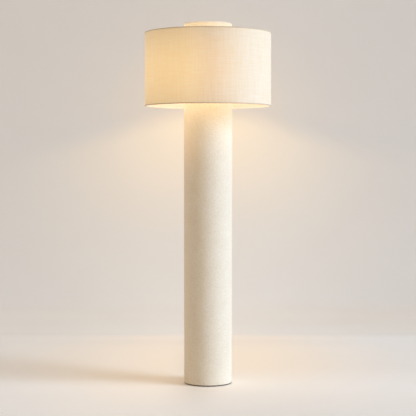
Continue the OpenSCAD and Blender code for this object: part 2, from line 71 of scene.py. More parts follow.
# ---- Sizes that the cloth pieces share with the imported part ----

COLUMN_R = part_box("column_wrap")[1].x
COLUMN_LOW, COLUMN_HIGH = (corner.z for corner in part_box("column_wrap"))
SHADE_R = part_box("shade_linen")[1].x
SHADE_LOW, SHADE_HIGH = (corner.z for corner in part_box("shade_linen"))
SHADE_MIDDLE = (SHADE_LOW + SHADE_HIGH) / 2
INLET_Z = sum(corner.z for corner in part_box("cord_grommet")) / 2
BULBS_Z = sum(corner.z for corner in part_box("bulb_1_globe")) / 2

# How thick the column's wrap, the diffuser's and cap's cloth, the linen and the tapes are
WRAP_T = 0.0018
SKIN_T = 0.001
LINEN_T = 0.001
TAPE_T = 0.0008

# The bulbs' circle round the lamp's axis, and where each stands on it
BULB_CIRCLE = 0.048
BULB_ANGLES = (90, 210, 330)

ONCE_ROUND = 2 * math.pi
BACK = math.radians(90)
SHARP_EDGE = math.radians(50)


# ---- Finishes ----

class Reading:
    """One socket of a finish. Sums, products and powers of readings add their Math nodes."""

    def __init__(self, finish, socket):
        self.finish = finish
        self.socket = socket

    def __add__(self, other):
        return self.finish.math("ADD", self, other)

    __radd__ = __add__

    def __sub__(self, other):
        return self.finish.math("SUBTRACT", self, other)

    def __rsub__(self, other):
        return self.finish.math("SUBTRACT", other, self)

    def __mul__(self, other):
        return self.finish.math("MULTIPLY", self, other)

    __rmul__ = __mul__

    def __truediv__(self, other):
        return self.finish.math("DIVIDE", self, other)

    def __pow__(self, other):
        return self.finish.math("POWER", self, other)

    def __neg__(self):
        return self.finish.math("MULTIPLY", self, -1)

    def __abs__(self):
        return self.finish.math("ABSOLUTE", self)


class Finish:
    """A material's nodes. add() makes any node and returns the reading of one output."""

    def __init__(self, name, tree=None):
        self.material = None
        self.tree = tree
        if tree is None:
            self.material = bpy.data.materials.new(name)
            self.material.use_nodes = True
            self.tree = self.material.node_tree
        self.tree.nodes.clear()

    def add(self, kind, settings, sockets, output=0):
        made = self.tree.nodes.new(kind)
        for key, value in settings.items():
            setattr(made, key, value)
        for key, value in sockets.items():
            if isinstance(value, Reading):
                self.tree.links.new(value.socket, made.inputs[key])
            else:
                made.inputs[key].default_value = value
        return Reading(self, made.outputs[output] if len(made.outputs) else None)

    def math(self, operation, *values):
        return self.add("ShaderNodeMath", {"operation": operation}, dict(enumerate(values)))

    def place(self):
        """x, y and z on the piece, in metres, as it stands at rest."""
        place = self.add("ShaderNodeTexCoord", {}, {}, "Object")
        return [self.add("ShaderNodeSeparateXYZ", {}, {0: place}, axis) for axis in "XYZ"]

    def point(self, x, y, z):
        return self.add("ShaderNodeCombineXYZ", {}, {0: x, 1: y, 2: z})

    def noise(self, point, detail=2.0, rough=0.5):
        sockets = {"Vector": point, "Scale": 1.0, "Detail": detail, "Roughness": rough}
        return self.add("ShaderNodeTexNoise", {}, sockets)

    def grain(self, x, y, z, per_metre, detail=2.0, rough=0.5):
        """Noise that is equally fine along x, y and z."""
        point = self.point(x * per_metre, y * per_metre, z * per_metre)
        return self.noise(point, detail, rough)

    def step(self, value, low, high, bottom=0.0, top=1.0):
        """Rises smoothly from bottom to top while value goes from low to high."""
        sockets = {"Value": value, "From Min": low, "From Max": high}
        sockets.update({"To Min": bottom, "To Max": top})
        return self.add("ShaderNodeMapRange", {"interpolation_type": "SMOOTHSTEP"}, sockets)

    def mix(self, factor, first, second):
        return self.add("ShaderNodeMix", {"data_type": "RGBA"}, {0: factor, 6: first, 7: second}, 2)

    def scale(self, shade, factor):
        first = shade if isinstance(shade, Reading) else shade[:3]
        return self.add("ShaderNodeVectorMath", {"operation": "SCALE"}, {0: first, "Scale": factor})

    def sum(self, first, second):
        return self.add("ShaderNodeVectorMath", {"operation": "ADD"}, {0: first, 1: second})

    def product(self, first, second):
        return self.add("ShaderNodeVectorMath", {"operation": "MULTIPLY"}, {0: first, 1: second})

    def bump(self, height, depth, strength=1.0):
        """Normals of a surface whose height goes from 0 to 1 over depth metres."""
        sockets = {"Height": height, "Distance": depth, "Strength": strength}
        return self.add("ShaderNodeBump", {}, sockets)

    def surface(self, **sockets):
        named = {key.replace("_", " "): value for key, value in sockets.items()}
        return self.add("ShaderNodeBsdfPrincipled", {}, named)

    def done(self, surface):
        self.add("ShaderNodeOutputMaterial", {}, {"Surface": surface})
        return self.material


def colour(red, green, blue):
    return (red, green, blue, 1.0)


def round_the_lamp(finish, radius):
    """Length round a drum of that radius from its front, height, and the flat place."""
    x, y, z = finish.place()
    return finish.math("ARCTAN2", x, -y) * radius, z, x, y


def falling_off(finish, distance, width):
    """1 where distance is 0, dying away smoothly over the width."""
    return finish.math("EXPONENT", -((distance / width) ** 2.0))


def plain_weave(finish, across, up, pitch):
    """Height, 0 to 1, of threads that go over and under each other."""
    warp = finish.math("SINE", across * (math.pi / pitch))
    weft = finish.math("SINE", up * (math.pi / pitch))
    on_top = finish.step(warp * weft, -0.35, 0.35)
    return abs(warp) * on_top + abs(weft) * (1 - on_top)


def slubs(finish, across, up, width, length, seed):
    """Thick and thin places of the yarn, 0 to 1, long in one direction."""
    point = finish.point(across / width, up / length, seed)
    return finish.noise(point, 3.0, 0.6)


def linen_finish(name):
    """Slubbed linen over a lit drum: most light just under mid-height, on the left."""
    finish = Finish(name)
    across, z, x, y = round_the_lamp(finish, SHADE_R)
    pitch = 0.0016
    slub = 0.0042
    thin_slub = 0.0026
    weave = plain_weave(finish, across, z, pitch)
    warp_slubs = slubs(finish, across, z, slub, 0.160, 3.1)
    weft_slubs = slubs(finish, z, across, slub, 0.120, 8.7)
    fine_warp = slubs(finish, across, z, thin_slub, 0.080, 5.3)
    fine_weft = slubs(finish, z, across, thin_slub, 0.060, 1.9)
    yarn = 0.26 * warp_slubs + 0.20 * weft_slubs + 0.28 * fine_warp + 0.26 * fine_weft
    tone = finish.step(yarn + 0.05 * (weave - 0.5), 0.36, 0.64)
    base = finish.mix(tone, colour(0.590, 0.568, 0.495), colour(0.610, 0.632, 0.625))
    # Painted lamplight: the bulbs' glow through the linen, strongest just under mid-height and on the
    # left, weaker towards the right where the window light falls.
    below_middle = 0.10
    lift = (z - SHADE_MIDDLE) / (SHADE_HIGH - SHADE_MIDDLE) + below_middle
    towards_middle = finish.step(x / SHADE_R, -0.35, 0.12)
    towards_right = finish.step(x / SHADE_R, 0.0, 0.75)
    warm = finish.mix(towards_middle, colour(0.57, 0.35, 0.125), colour(0.415, 0.205, 0.03))
    warm = finish.mix(towards_right, warm, colour(0.335, 0.235, 0.135))
    yarn_light = finish.mix(tone, colour(0.955, 0.92, 0.79), colour(1.045, 1.08, 1.21))
    fade = 0.32 - 0.27 * towards_right
    light = finish.scale(finish.product(warm, yarn_light), 1 - fade * lift * lift)
    rough = 0.84 + 0.1 * weave
    normal = finish.bump(0.55 * weave + 0.45 * yarn, 0.0003, 0.4)
    return finish.done(finish.surface(
        Base_Color=base, Roughness=rough, Normal=normal, Emission_Color=light,
        Emission_Strength=1.0, Sheen_Weight=0.1, Sheen_Roughness=0.5, Specular_IOR_Level=0.2))


def column_finish(name, bulbs_z=None):
    """Felted ivory textile, mottled on the slant. It is lit from inside if bulbs_z is given; without
    it, it carries painted light: a warm glow on its left and a cool glow high on its right.
    """
    finish = Finish(name)
    across, z, x, y = round_the_lamp(finish, COLUMN_R)
    pitch = 0.0022
    tuft = 0.0030
    mottle_width, mottle_length = 0.0034, 0.0090
    weave = plain_weave(finish, across, z, pitch)
    slanted = finish.point((across + z) / mottle_width, (across - z) / mottle_length, 2.4)
    slant = finish.noise(slanted, 3.0, 0.65)
    nap = finish.noise(finish.point(across / tuft, z / tuft, 6.2), 3.0, 0.75)
    cloud = finish.grain(x, y, z, 18, 2.0)
    tone = finish.step(0.48 * slant + 0.42 * nap + 0.10 * cloud, 0.37, 0.63)
    base = finish.mix(tone, colour(0.764, 0.710, 0.605), colour(0.876, 0.850, 0.785))
    rough = 0.88 + 0.1 * nap
    normal = finish.bump(0.4 * weave + 0.35 * nap + 0.25 * slant, 0.0005, 0.5)
    if bulbs_z:
        # Painted lamplight: the lit copy has half the base colour and a painted glow, brightest level
        # with the bulbs.
        base = finish.scale(base, 0.5)
        warm = finish.mix(tone, colour(0.93, 0.63, 0.31), colour(1.03, 0.73, 0.40))
        light = finish.scale(warm, 0.72 + 0.28 * falling_off(finish, z - bulbs_z, 0.09))
        strength = 0.62
    else:
        # Painted light: a warm glow on the left, as from the lamplit wall, and a cool one high on the
        # right, as from the window light under the shade.
        aside = x / COLUMN_R
        painted_wall_glow = finish.step(aside, 0.05, -0.95) * falling_off(finish, z - 1.0, 0.10)
        painted_wall_glow = painted_wall_glow + finish.step(aside, -0.55, -0.95, 0.0, 0.32)
        painted_window_light = finish.step(aside, 0.15, 0.95) * finish.step(z, 1.08, 1.15)
        light = finish.sum(finish.scale((0.11, 0.05, 0.012), painted_wall_glow),
                           finish.scale((0.0, 0.045, 0.10), painted_window_light))
        strength = 1.0
    return finish.done(finish.surface(
        Base_Color=base, Roughness=rough, Normal=normal, Emission_Color=light,
        Emission_Strength=strength, Sheen_Weight=0.2, Sheen_Roughness=0.6, Specular_IOR_Level=0.2))


def tape_finish(name):
    """Ribbed binding tape: fine cross ribs, dull outside, lit on its leg inside the drum."""
    finish = Finish(name)
    across, z, x, y = round_the_lamp(finish, SHADE_R)
    rib_pitch = 0.0012
    rib = finish.math("SINE", across * (ONCE_ROUND / rib_pitch))
    yarn = slubs(finish, across, z, 0.0025, 0.012, 4.4)
    tone = finish.step(0.8 * yarn + 0.1 * rib, 0.3, 0.65)
    base = finish.mix(tone, colour(0.60, 0.50, 0.38), colour(0.74, 0.66, 0.55))
    # Painted lamplight: the tape's leg inside the drum glows, its outside barely.
    from_axis = finish.math("SQRT", x * x + y * y)
    inside = finish.step(from_axis, SHADE_R - 0.003, SHADE_R - 0.001, 1.0, 0.06)
    light = finish.scale(colour(0.85, 0.83, 0.76), inside * (0.46 + 0.08 * tone))
    normal = finish.bump(0.5 + 0.3 * rib + 0.2 * yarn, 0.00025, 0.6)
    return finish.done(finish.surface(
        Base_Color=base, Roughness=0.82 + 0.12 * yarn, Normal=normal, Emission_Color=light,
        Emission_Strength=1.0, Sheen_Weight=0.15, Sheen_Roughness=0.5, Specular_IOR_Level=0.25))


def thread_finish(name):
    """Twisted sewing thread."""
    finish = Finish(name)
    x, y, z = finish.place()
    ply = 0.0006
    twist = finish.math("SINE", (x * 0.7 + z) * (ONCE_ROUND / ply))
    tone = finish.step(twist, -1, 1)
    base = finish.mix(tone, colour(0.66, 0.60, 0.50), colour(0.84, 0.79, 0.70))
    normal = finish.bump(twist * 0.5 + 0.5, 0.0001, 0.6)
    return finish.done(finish.surface(
        Base_Color=base, Roughness=0.6 + 0.05 * twist, Normal=normal, Sheen_Weight=0.2))


def lit_sheet_finish(name, glow, warm, radius, bulbs_z=None):
    """Stiff translucent sheet, lit by the bulbs. With bulbs_z it is the shade's own sheet,
    brightest level with the bulbs and dim in the strip along its lower edge."""
    finish = Finish(name)
    across, z, x, y = round_the_lamp(finish, radius)
    cloud = finish.noise(finish.point(across * 22, z * 9, 3.3), 3.0, 0.55)
    grain = finish.noise(finish.point(across * 900, z * 900, 1.0), 1.0)
    tone = finish.step(0.8 * cloud + 0.2 * grain, 0.3, 0.7)
    base = finish.mix(tone, colour(0.78, 0.75, 0.68), colour(0.86, 0.84, 0.78))
    near = 0.94 + 0.12 * tone
    if bulbs_z:
        # Painted light: along the lower edge the base turns a cool mauve and the painted glow dims,
        # setting how the lamplight looks in that strip; above it the painted glow peaks level with the
        # bulbs.
        strip_low, strip_high = SHADE_LOW + 0.01, SHADE_LOW + 0.06
        strip = finish.step(z, strip_high, strip_low)
        base = finish.mix(strip, base, colour(0.74, 0.67, 0.74))
        near = near * (0.26 + 0.74 * falling_off(finish, z - bulbs_z, 0.085))
        near = near * finish.step(z, strip_low, strip_high, 0.4, 1.0)
    light = finish.scale(warm, near)
    normal = finish.bump(grain, 0.00006, 0.5)
    return finish.done(finish.surface(
        Base_Color=base, Roughness=0.42 + 0.12 * tone, Normal=normal, Emission_Color=light,
        Emission_Strength=glow))


def powder_coat_finish(name, dark, light, rough):
    """Baked powder paint: orange peel, faint mottling, small scuffs."""
    finish = Finish(name)
    x, y, z = finish.place()
    peel = finish.grain(x, y, z, 620, 1.0)
    cloud = finish.grain(x, y, z, 45, 3.0, 0.6)
    scuff = finish.step(finish.noise(finish.point(x * 260, y * 70, z * 120), 2.0, 0.7), 0.66, 0.74)
    base = finish.mix(finish.step(cloud, 0.3, 0.7), colour(*dark), colour(*light))
    worn = finish.mix(scuff * 0.35, base, colour(*[0.5 * c + 0.16 for c in light]))
    normal = finish.bump(peel, 0.00008, 0.5)
    return finish.done(finish.surface(
        Base_Color=worn, Roughness=rough + 0.12 * cloud + 0.2 * scuff, Normal=normal))


def plated_finish(name, dark, light, rough, thread=0.0):
    """Plated or turned metal with hairlines, and with rolled thread if thread is its pitch."""
    finish = Finish(name)
    x, y, z = finish.place()
    hair = finish.noise(finish.point(x * 300, y * 300, z * 2600), 2.0, 0.6)
    dull = finish.grain(x, y, z, 60, 3.0, 0.65)
    base = finish.mix(finish.step(dull, 0.3, 0.72), colour(*dark), colour(*light))
    height = hair * 0.15
    if thread:
        turn = finish.math("ARCTAN2", y, x) / ONCE_ROUND
        height = height + 0.5 + 0.5 * finish.math("SINE", (z / thread - turn) * ONCE_ROUND)
    normal = finish.bump(height, max(thread * 0.4, 0.00004), 0.7)
    return finish.done(finish.surface(
        Base_Color=base, Metallic=0.94 + 0.06 * dull, Roughness=rough + 0.16 * dull + 0.06 * hair,
        Normal=normal))


def rubber_finish(name):
    """Black moulded rubber with a faint grey bloom."""
    finish = Finish(name)
    x, y, z = finish.place()
    grain = finish.grain(x, y, z, 1400, 2.0)
    bloom = finish.grain(x, y, z, 90, 3.0, 0.6)
    tone = finish.step(bloom, 0.35, 0.75)
    base = finish.mix(tone, colour(0.018, 0.018, 0.018), colour(0.05, 0.048, 0.046))
    normal = finish.bump(grain, 0.00008, 0.5)
    return finish.done(finish.surface(Base_Color=base, Roughness=0.72 + 0.2 * bloom, Normal=normal))


def cast_iron_finish(name):
    """Raw casting: sandy skin, patches of brown rust."""
    finish = Finish(name)
    x, y, z = finish.place()
    sand = finish.grain(x, y, z, 500, 4.0, 0.65)
    rust = finish.grain(x, y, z, 38, 4.0, 0.65)
    tone = finish.step(rust, 0.5, 0.72)
    base = finish.mix(tone, colour(0.055, 0.055, 0.058), colour(0.13, 0.075, 0.045))
    normal = finish.bump(sand, 0.0006, 0.8)
    return finish.done(finish.surface(
        Base_Color=base, Metallic=0.55 - 0.4 * finish.step(rust, 0.5, 0.7),
        Roughness=0.62 + 0.25 * sand, Normal=normal))


def fibreboard_finish(name):
    """Pressed wood fibre: short pale and dark flecks, slightly furry."""
    finish = Finish(name)
    x, y, z = finish.place()
    fibre = finish.noise(finish.point(x * 420, y * 420, z * 1500), 3.0, 0.65)
    fleck = finish.noise(finish.point(x * 1300, y * 700, z * 900), 2.0, 0.6)
    tone = finish.step(0.6 * fibre + 0.4 * fleck, 0.32, 0.68)
    base = finish.mix(tone, colour(0.30, 0.19, 0.10), colour(0.47, 0.33, 0.20))
    normal = finish.bump(fibre, 0.0002, 0.6)
    return finish.done(finish.surface(Base_Color=base, Roughness=0.82 + 0.12 * fleck, Normal=normal))


def wound_board_finish(name):
    """Spirally wound paper tube: slanting ply joints over grey-brown paper."""
    finish = Finish(name)
    across, z, x, y = round_the_lamp(finish, COLUMN_R)
    ply_pitch = 0.16
    turn = across / (ONCE_ROUND * COLUMN_R)
    ply = finish.math("FRACT", z / ply_pitch + turn)
    joint = finish.step(abs(ply - 0.5), 0.492, 0.499)
    paper = finish.noise(finish.point(across * 300, z * 90, 2.0), 3.0, 0.6)
    base = finish.mix(finish.step(paper, 0.3, 0.7), colour(0.30, 0.20, 0.12), colour(0.42, 0.30, 0.19))
    dark = finish.mix(joint * 0.6, base, colour(0.16, 0.10, 0.06))
    normal = finish.bump(paper * 0.3 - joint, 0.0004, 0.6)
    return finish.done(finish.surface(Base_Color=dark, Roughness=0.8 + 0.12 * paper, Normal=normal))


def porcelain_finish(name):
    """White glazed porcelain with a faint grey pooling in the glaze and tiny pits."""
    finish = Finish(name)
    x, y, z = finish.place()
    pool = finish.noise(finish.point(x * 120, y * 120, z * 60), 3.0, 0.55)
    pit = finish.step(finish.grain(x, y, z, 900, 1.0), 0.72, 0.78)
    base = finish.mix(finish.step(pool, 0.3, 0.7), colour(0.77, 0.76, 0.72), colour(0.86, 0.85, 0.82))
    speck = finish.mix(pit * 0.5, base, colour(0.45, 0.42, 0.38))
    normal = finish.bump(pool * 0.6 - pit, 0.00015, 0.5)
    return finish.done(finish.surface(
        Base_Color=speck, Roughness=0.12 + 0.15 * pool, Normal=normal,
        Coat_Weight=0.4, Coat_Roughness=0.08))


def opal_glass_finish(name, glow):
    """Opal glass of a lit bulb: even light, a little paler at the crown, gloss over it."""
    finish = Finish(name)
    x, y, z = finish.place()
    haze = finish.grain(x, y, z, 80, 2.0)
    neck_z, crown_z = 1.275, 1.35
    crown = finish.step(z, neck_z, crown_z)
    base = finish.mix(haze, colour(0.86, 0.83, 0.77), colour(0.92, 0.90, 0.86))
    lit = finish.mix(crown, colour(1.0, 0.74, 0.42), colour(1.0, 0.84, 0.58))
    return finish.done(finish.surface(
        Base_Color=base, Roughness=0.1 + 0.08 * haze, Emission_Color=lit, Emission_Strength=glow))


def screw_cap_finish(name):
    """Nickelled screw cap: black glass cone and tin contact at the foot, metal above."""
    finish = Finish(name)
    x, y, z = finish.place()
    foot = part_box("bulb_1_screw_cap")[0].z
    tin_high = foot + 0.0015
    cone_high = foot + 0.0050
    blur = 0.0001
    cone = finish.step(z, cone_high - blur, cone_high + blur)
    tin = finish.step(z, tin_high - blur, tin_high + blur)
    dull = finish.grain(x, y, z, 150, 3.0, 0.6)
    metal = finish.mix(dull, colour(0.52, 0.50, 0.46), colour(0.72, 0.70, 0.66))
    black = finish.mix(dull, colour(0.01, 0.01, 0.012), colour(0.03, 0.03, 0.03))
    above_tin = finish.mix(cone, black, metal)
    base = finish.mix(tin, metal, above_tin)
    bare = 1 - tin * (1 - cone)
    normal = finish.bump(dull, 0.00006, 0.5)
    return finish.done(finish.surface(
        Base_Color=base, Metallic=bare, Roughness=0.22 + 0.2 * dull, Normal=normal))


# ---- Shapes ----

def full_turn(count):
    """Evenly spaced angles, once round."""
    return [ONCE_ROUND * i / count for i in range(count)]


def on_circle(radius, angle, z):
    return (radius * math.cos(angle), radius * math.sin(angle), z)


def smooth_mesh(name, points, faces):
    """Shaded smooth apart from edges sharper than SHARP_EDGE."""
    mesh = bpy.data.meshes.new(name)
    mesh.from_pydata(points, [], faces)
    mesh.validate()
    mesh.shade_smooth()
    mesh.set_sharp_from_angle(angle=SHARP_EDGE)
    return mesh


def skin(name, loops, closed=True):
    """One piece through loops of points, each loop a ring round the piece's section. A closed
    one joins its last loop to its first, any other has its two ends filled."""
    size = len(loops[0])
    points = [point for loop in loops for point in loop]
    faces = []
    last = len(loops) if closed else len(loops) - 1
    for i in range(last):
        here = i * size
        beyond = (i + 1) % len(loops) * size
        for j in range(size):
            k = (j + 1) % size
            faces.append((here + j, here + k, beyond + k, beyond + j))
    if not closed:
        faces.append(tuple(range(size - 1, -1, -1)))
        faces.append(tuple(range((len(loops) - 1) * size, len(loops) * size)))
    return put_in_scene(name, smooth_mesh(name, points, faces))


def face_outwards(piece):
    """Turns the faces of a solid piece to look out of it."""
    mesh = piece.data
    volume = 0.0
    corners = mesh.vertices
    for face in mesh.polygons:
        first = corners[face.vertices[0]].co
        for j in range(1, len(face.vertices) - 1):
            second = corners[face.vertices[j]].co
            third = corners[face.vertices[j + 1]].co
            volume += first.dot(second.cross(third))
    if volume < 0:
        mesh.flip_normals()


def small_solid(name, loops):
    """A skin with filled ends whose faces look out of it."""
    made = skin(name, loops, closed=False)
    face_outwards(made)
    return made


def dress(piece, finish, slot, body, *nodes):
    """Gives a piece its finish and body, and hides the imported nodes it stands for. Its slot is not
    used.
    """
    piece.data.materials.append(finish)
    face_outwards(piece)
    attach(piece, body)
    if nodes:
        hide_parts(*nodes)
    return piece


def soft_edge(inner, outer):
    """How far a cloth's rounded edge reaches past its flat faces."""
    return (outer - inner) * 0.45


def round_end(inner, outer, z, up):
    """Three points of a cloth edge, softened, from its outer to its inner face."""
    bulge = soft_edge(inner, outer)
    return [(outer - bulge * 0.3, z + up * bulge * 0.7),
            ((outer + inner) / 2, z + up * bulge),
            (inner + bulge * 0.3, z + up * bulge * 0.7)]


def band_section(inner, outer, low, high, rows):
    """The upright section of a cloth band: outer face up, inner face down, soft edges."""
    soft = soft_edge(inner, outer)
    heights = [low + soft + (high - low - 2 * soft) * i / rows for i in range(rows + 1)]
    section = [(outer, z) for z in heights]
    section += round_end(inner, outer, heights[-1], 1)
    section += [(inner, z) for z in reversed(heights)]
    section += reversed(round_end(inner, outer, heights[0], -1))
    return section


def ripple(angle, z, depth):
    """A slow unevenness of a stretched cloth, in metres."""
    waves = 2.0
    place = Vector((math.cos(angle) * waves, math.sin(angle) * waves, z * waves * 4))
    return noise.noise(place) * depth


def lapped_band(name, inner, outer, low, high, lap, rows, turns, depth):
    """A cloth band that goes once round and laps over its own start at the back."""
    section = band_section(inner, outer, low, high, rows)
    lap_height = (outer - inner) * 1.1
    climb = 0.004 / outer
    climb_start = climb * 1.5
    total = ONCE_ROUND + lap / outer
    steps = [total * i / turns for i in range(turns + 1)]
    steps += [ONCE_ROUND - back for back in (climb_start, climb, climb / 2, 0)]
    loops = []
    for step in sorted(steps):
        angle = BACK + step
        over = min(max((step - ONCE_ROUND + climb_start) / climb, 0), 1)
        rise = lap_height * over * over * (3 - 2 * over)
        loop = []
        for r, z in section:
            away = r + rise + ripple(angle, z, depth)
            loop.append(on_circle(away, angle, z))
        loops.append(loop)
    return skin(name, loops, closed=False)


def seamed_band(name, inner, outer, low, high, rows, turns, groove, depth):
    """A thick cloth band whose turned-in edges meet in a groove at the back."""
    section = band_section(inner, outer, low, high, rows)
    groove_width = 0.0011
    swell_height, swell_off, swell_width = 0.0002, 0.0026, 0.0012
    beside = [0.0004, 0.0009, 0.0015, 0.0024, 0.0036]
    near = [side * gap / outer for gap in beside for side in (-1, 1)] + [0.0]
    spread = beside[-1] / outer * 1.6
    steps = near + [spread + (ONCE_ROUND - 2 * spread) * i / turns for i in range(turns + 1)]
    loops = []
    for step in sorted(step % ONCE_ROUND for step in steps):
        angle = BACK + step
        off = min(step, ONCE_ROUND - step) * outer
        dent = groove * math.exp(-((off / groove_width) ** 2))
        swell = swell_height * math.exp(-(((off - swell_off) / swell_width) ** 2))
        loop = []
        for r, z in section:
            share = (r - inner) / (outer - inner)
            away = r + share * (swell - dent) + ripple(angle, z, depth)
            loop.append(on_circle(away, angle, z))
        loops.append(loop)
    return skin(name, loops)


def cut_round_hole(piece, place, radius):
    """Cuts a hole along Y through the back of a cloth piece."""
    reach = 0.02
    rings = []
    for y in (place.y - reach, place.y + reach):
        rings.append([(place.x + radius * math.cos(a), y, place.z + radius * math.sin(a))
                      for a in full_turn(40)])
    cutter = small_solid("inlet_cutter", rings)
    face_outwards(piece)
    cut = piece.modifiers.new("inlet", "BOOLEAN")
    cut.operation = "DIFFERENCE"
    cut.solver = "EXACT"
    cut.object = cutter
    bpy.context.view_layer.update()
    worked_out = piece.evaluated_get(bpy.context.evaluated_depsgraph_get())
    shape = bpy.data.meshes.new_from_object(worked_out)
    piece.modifiers.clear()
    piece.data = shape
    bpy.data.objects.remove(cutter)


def tube_loops(path, radius, sides):
    """Rings of a round cord-like shape along a path of points."""
    loops = []
    for i, point in enumerate(path):
        ahead = path[min(i + 1, len(path) - 1)] - path[max(i - 1, 0)]
        ahead.normalize()
        side = ahead.orthogonal().normalized()
        other = ahead.cross(side)
        loops.append([point + side * radius * math.cos(a) + other * radius * math.sin(a)
                      for a in full_turn(sides)])
    return loops


def join_skins(name, pieces):
    """Makes one piece of several."""
    points, faces = [], []
    for piece in pieces:
        start = len(points)
        points += [vertex.co.copy() for vertex in piece.data.vertices]
        faces += [tuple(start + v for v in face.vertices) for face in piece.data.polygons]
        bpy.data.objects.remove(piece)
    return put_in_scene(name, smooth_mesh(name, points, faces))


# ---- Cloth on the column, the diffuser and the cap ----

def seam_stitches():
    """Slanting hand stitches that draw the column's seam together."""
    pitch = 0.009
    reach = 0.0026
    slant = 0.0012
    from_edge = 0.006
    from_inlet = 0.013
    thread_r = 0.00036
    proud = 0.00035
    sunk = 0.0009
    dip_width = 0.0012
    made = []
    z = COLUMN_LOW + from_edge
    while z < COLUMN_HIGH - from_edge:
        if abs(z - INLET_Z) > from_inlet:
            path = []
            for i in range(9):
                t = i / 4 - 1
                aside = t * reach
                dip = math.exp(-((aside / dip_width) ** 2))
                out = COLUMN_R + proud - sunk * dip - sunk * t ** 8
                path.append(Vector((aside, math.sqrt(out * out - aside ** 2), z + t * slant)))
            made.append(small_solid("stitch", tube_loops(path, thread_r, 6)))
        z += pitch
    return join_skins("column_stitches", made)


def dress_column():
    inlet_r = 0.0063
    cloth = seamed_band("column_cloth", COLUMN_R - WRAP_T, COLUMN_R, COLUMN_LOW, COLUMN_HIGH,
                        rows=110, turns=168, groove=0.0011, depth=0.00012)
    cut_round_hole(cloth, Vector((0, COLUMN_R, INLET_Z)), inlet_r)
    dress(cloth, column_finish("ivory_felted_textile"), "column_textile", "stand",
          "column_wrap")
    stitches = dress(seam_stitches(), thread_finish("ivory_sewing_thread"), "column_textile", "stand")


def dress_diffuser():
    low, high = (corner.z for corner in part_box("diffuser_fabric"))
    lap = 0.012
    cloth = lapped_band("diffuser_cloth", COLUMN_R - SKIN_T, COLUMN_R, low, high, lap,
                        rows=30, turns=160, depth=0.00008)
    dress(cloth, column_finish("lit_ivory_textile", BULBS_Z), "skin_textile", "stand",
          "diffuser_fabric")


def cap_finish():
    """The column's textile stretched over the cap, with painted lamplight: a glow on its side that is
    stronger on the left, and a weaker glow on its top.
    """
    finish = Finish("cap_ivory_textile")
    across, z, x, y = round_the_lamp(finish, COLUMN_R)
    pitch = 0.0018
    tuft = 0.0014
    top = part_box("cap_fabric")[1].z
    on_top = finish.step(z, top - 0.003, top - 0.0012)
    side_weave = plain_weave(finish, across, z, pitch)
    top_weave = plain_weave(finish, x, y, pitch)
    weave = side_weave * (1 - on_top) + top_weave * on_top
    nap = finish.noise(finish.point(x / tuft, y / tuft, z / tuft), 2.0, 0.7)
    cloud = finish.grain(x, y, z, 60, 3.0, 0.6)
    tone = finish.step(0.4 * nap + 0.4 * cloud + 0.2 * weave, 0.34, 0.68)
    # Painted light: the side has a darker base and a painted glow that is stronger on the left; the
    # top a paler base and a weaker painted glow.
    side_base = finish.mix(tone, colour(0.57, 0.53, 0.46), colour(0.63, 0.60, 0.54))
    top_base = finish.mix(tone, colour(0.74, 0.69, 0.59), colour(0.83, 0.79, 0.71))
    base = finish.mix(on_top, side_base, top_base)
    left = finish.step(x / COLUMN_R, -0.5, 0.9, 1.0, 0.25)
    warm = finish.mix(on_top, colour(0.21, 0.195, 0.145), colour(0.17, 0.10, 0.045))
    light = finish.scale(warm, (left * (1 - on_top) + on_top) * (0.95 + 0.1 * tone))
    normal = finish.bump(0.5 * weave + 0.5 * nap, 0.0005, 0.5)
    return finish.done(finish.surface(
        Base_Color=base, Roughness=0.86 + 0.1 * nap, Normal=normal, Emission_Color=light,
        Emission_Strength=1.0, Sheen_Weight=0.15, Sheen_Roughness=0.5, Specular_IOR_Level=0.2))


def dress_cap():
    low, high = (corner.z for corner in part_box("cap_fabric"))
    edge = 0.005
    crown = 0.0006
    hem = 0.0008
    crown_disc_r = 0.002
    turns = 160

    def lid(r, top, corner):
        side = [(r, low + hem + (top - corner - low - hem) * i / 8) for i in range(9)]
        bend = []
        for i in range(1, 9):
            a = math.radians(90 * i / 8)
            bend.append((r - corner + corner * math.cos(a), top - corner + corner * math.sin(a)))
        flat = [(r - corner) * (1 - i / 9) for i in range(1, 9)]
        face = [(f, top + crown * (1 - (f / (r - corner)) ** 2)) for f in flat]
        return side + bend + face + [(crown_disc_r, top + crown)]

    outer = lid(COLUMN_R, high, edge)
    inner = lid(COLUMN_R - SKIN_T, high - SKIN_T, edge - SKIN_T)
    foot = [(COLUMN_R - SKIN_T * 0.5, low)]
    section = outer + list(reversed(inner)) + foot
    loops = [[on_circle(r, angle, z) for r, z in section] for angle in full_turn(turns)]
    cloth = skin("cap_cloth", loops)
    close_crown(cloth, len(outer), len(section), turns)
    dress(cloth, cap_finish(), "skin_textile", "cap", "cap_fabric")


def close_crown(cloth, outer_count, size, turns):
    """Swaps the strip between a lid's two crowns for two small discs."""
    mesh = cloth.data
    points = [vertex.co.copy() for vertex in mesh.vertices]
    top, under = outer_count - 1, outer_count
    kept = []
    for face in mesh.polygons:
        places = {v % size for v in face.vertices}
        if places != {top, under}:
            kept.append(tuple(face.vertices))
    kept.append(tuple(i * size + top for i in range(turns)))
    kept.append(tuple(i * size + under for i in reversed(range(turns))))
    cloth.data = smooth_mesh(mesh.name, points, kept)


# ---- Linen and binding tapes on the shade ----

